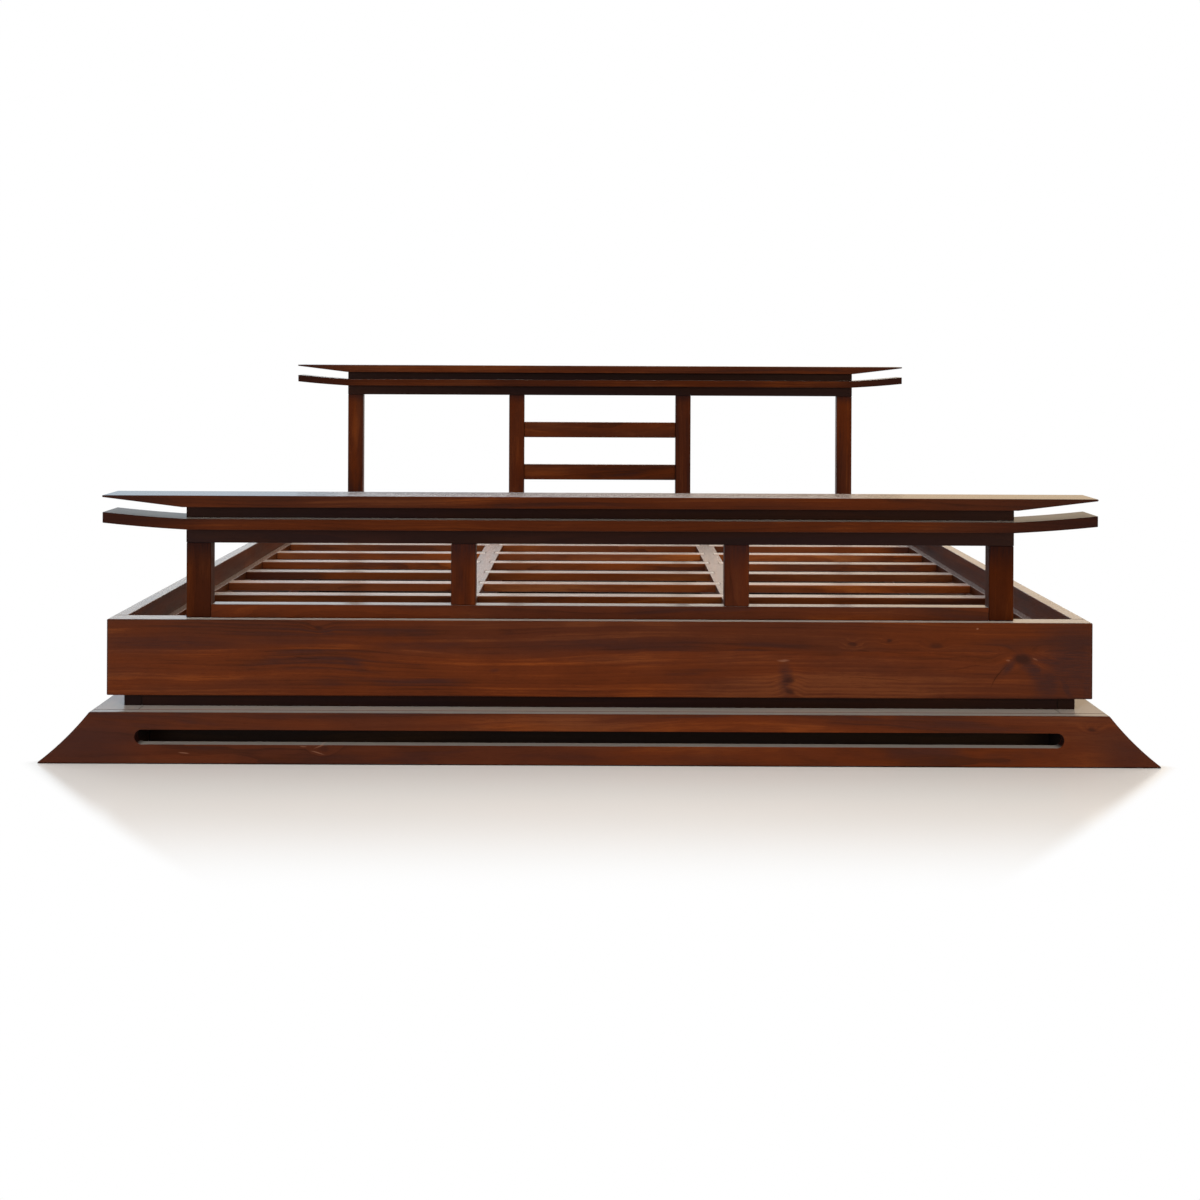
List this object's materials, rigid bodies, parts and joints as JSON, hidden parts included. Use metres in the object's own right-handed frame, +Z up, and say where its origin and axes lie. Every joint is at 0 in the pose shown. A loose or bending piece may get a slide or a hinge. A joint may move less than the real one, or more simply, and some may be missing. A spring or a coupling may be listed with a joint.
{
  "type": "platform bed",
  "caption": "Low wooden platform bed with a flared slotted plinth, deep rails round a sunken slatted deck, and a footboard and headboard with winged caps.",
  "frame": {"origin": "centre of the footprint at floor level", "axes": "+X to the right seen from the foot end, +Y from the foot end to the head end, +Z up"},
  "size_m": [2.278, 2.224, 0.794],
  "materials": {
    "stained_wood": "dark red-brown stain under satin lacquer",
    "dark_stained_wood": "darker red-brown stain under satin lacquer",
    "slat_wood": "red-brown stain under satin lacquer",
    "inner_wood": "dark stain, unpolished",
    "dowel_wood": "bare turned hardwood",
    "steel": "zinc plated"
  },
  "bodies": {
    "root": {"base_front_board": "stained_wood", "base_rear_board": "stained_wood", "base_left_board": "stained_wood", "base_right_board": "stained_wood", "base_front_bearer": "inner_wood", "base_rear_bearer": "inner_wood", "base_left_bearer": "inner_wood", "base_right_bearer": "inner_wood", "deck_front_strip": "stained_wood", "deck_rear_strip": "stained_wood", "deck_left_strip": "stained_wood", "deck_right_strip": "stained_wood", "deck_cleats": "inner_wood", "plinth_corner_blocks": "inner_wood", "riser_front": "dark_stained_wood", "riser_rear": "dark_stained_wood", "riser_left": "dark_stained_wood", "riser_right": "dark_stained_wood", "rail_front": "stained_wood", "rail_rear": "stained_wood", "rail_left": "stained_wood", "rail_right": "stained_wood", "ledger_left": "slat_wood", "ledger_right": "slat_wood", "beam_left": "slat_wood", "beam_right": "slat_wood", "beam_legs": "slat_wood", "slats_left": "slat_wood", "slats_middle": "slat_wood", "slats_right": "slat_wood", "rail_corner_blocks": "inner_wood", "corner_bolts": "steel", "ledger_screws": "steel", "slat_screws": "steel", "riser_dowels": "dowel_wood", "leg_dowels": "dowel_wood", "board_dowels": "dowel_wood", "cap_screws": "steel", "foot_outer_post_left": "stained_wood", "foot_outer_post_right": "stained_wood", "foot_inner_post_left": "stained_wood", "foot_inner_post_right": "stained_wood", "foot_bottom_rail": "stained_wood", "foot_upper_rail": "dark_stained_wood", "foot_lower_cap": "stained_wood", "foot_cap_spacer": "dark_stained_wood", "foot_upper_cap": "stained_wood", "head_outer_post_left": "stained_wood", "head_outer_post_right": "stained_wood", "head_inner_post_left": "stained_wood", "head_inner_post_right": "stained_wood", "head_bottom_rail": "stained_wood", "head_upper_rail": "dark_stained_wood", "head_lower_cap": "stained_wood", "head_cap_spacer": "dark_stained_wood", "head_upper_cap": "stained_wood", "head_rung_lower": "stained_wood", "head_rung_upper": "stained_wood"}
  },
  "joints": []
}
